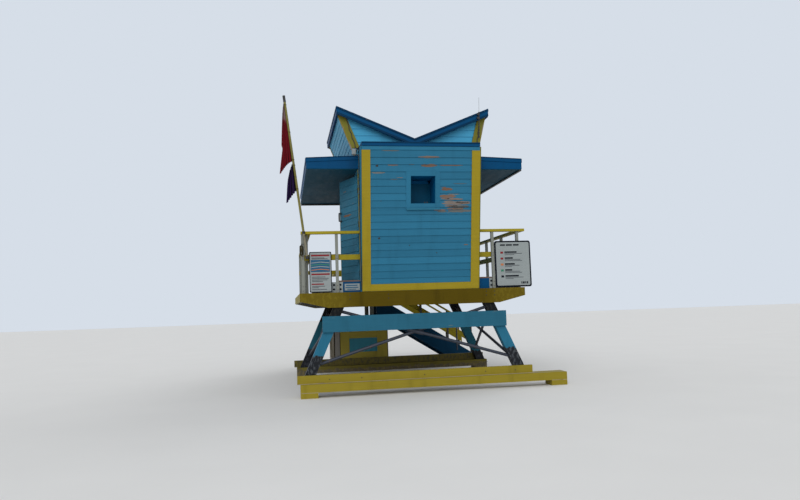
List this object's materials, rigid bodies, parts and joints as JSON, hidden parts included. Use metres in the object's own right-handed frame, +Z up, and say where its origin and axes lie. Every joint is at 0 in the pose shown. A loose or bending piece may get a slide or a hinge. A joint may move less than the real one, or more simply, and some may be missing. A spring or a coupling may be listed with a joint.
{
  "type": "lifeguard tower",
  "caption": "Timber lifeguard tower on skids: slant-backed clapboard cabin with side canopies and a butterfly roof, on a railed deck with splayed legs, a ramp, a locker and flags.",
  "frame": {"origin": "on the ground below the middle of the whole tower's plan", "axes": "+Z up, -Y towards the landward back with the leaning wall, +Y towards the sea and the ramp side, +X to the right seen from the back"},
  "size_m": [4.7112, 6.31, 4.7473],
  "materials": {
    "yellow_paint": "worn mustard yellow paint on timber",
    "blue_paint": "sun-faded blue paint on clapboard, with peeled patches",
    "light_blue_paint": "light blue paint on clapboard",
    "deep_blue_paint": "deep blue paint on boards",
    "teal_paint": "worn teal paint on timber",
    "navy_paint": "dark blue paint on boards",
    "bare_timber": "weathered timber boards",
    "dark_timber": "shaded rough timber",
    "white_paint": "pale painted board",
    "pipe": "dull galvanised pipe",
    "pole": "worn pole paint",
    "red_cloth": "limp cloth",
    "purple_cloth": "limp cloth",
    "dark_metal": "dark painted metal"
  },
  "bodies": {
    "tower": {"back_skid": "yellow_paint", "front_skid": "yellow_paint", "sill_planks": "yellow_paint", "back_left_leg": "teal_paint", "back_right_leg": "teal_paint", "front_left_leg": "teal_paint", "front_right_leg": "teal_paint", "crossbeam": "teal_paint", "back_brace": "pipe", "left_brace": "pipe", "right_brace": "pipe", "deck_bearers": "dark_timber", "back_edge_beam": "yellow_paint", "side_edge_beams": "yellow_paint", "front_edge_beam": "yellow_paint", "deck_joists": "dark_timber", "deck_boards": "bare_timber", "back_wall": "blue_paint", "back_wall_cheeks": "blue_paint", "back_wall_cap": "deep_blue_paint", "back_wall_trim": "yellow_paint", "window_frame": "blue_paint", "window_hatch": "navy_paint", "left_wall": "blue_paint", "left_wall_pier": "blue_paint", "left_wall_header": "blue_paint", "right_wall": "blue_paint", "front_wall": "blue_paint", "door_hinges": "dark_metal", "left_flare_wall": "light_blue_paint", "right_flare_wall": "light_blue_paint", "back_gable": "light_blue_paint", "front_gable": "light_blue_paint", "gable_trim": "yellow_paint", "left_roof_panel": "deep_blue_paint", "right_roof_panel": "deep_blue_paint", "rake_boards": "deep_blue_paint", "eave_boards": "deep_blue_paint", "left_canopy": "deep_blue_paint", "right_canopy": "deep_blue_paint", "canopy_soffits": "dark_timber", "front_roof": "deep_blue_paint", "back_railings": "yellow_paint", "side_railings": "yellow_paint", "front_railing": "yellow_paint", "kick_boards": "deep_blue_paint", "sign_boards": "white_paint", "flagpole": "pole", "red_flag": "red_cloth", "purple_flag": "purple_cloth", "antenna": "dark_metal", "landing": "bare_timber", "landing_railings": "yellow_paint", "ramp": "bare_timber", "ramp_side_boards": "navy_paint", "ramp_railings": "yellow_paint", "locker": "yellow_paint"},
    "door": {"side_door": "blue_paint", "door_hardware": "dark_metal"}
  },
  "joints": [
    {"name": "side_door_hinge", "type": "hinge", "parent": "tower", "child": "door", "pos_m": [-1.09107, -2.571, 1.905], "axis": [0, 0, 1], "range_deg": [-20, 70]}
  ]
}
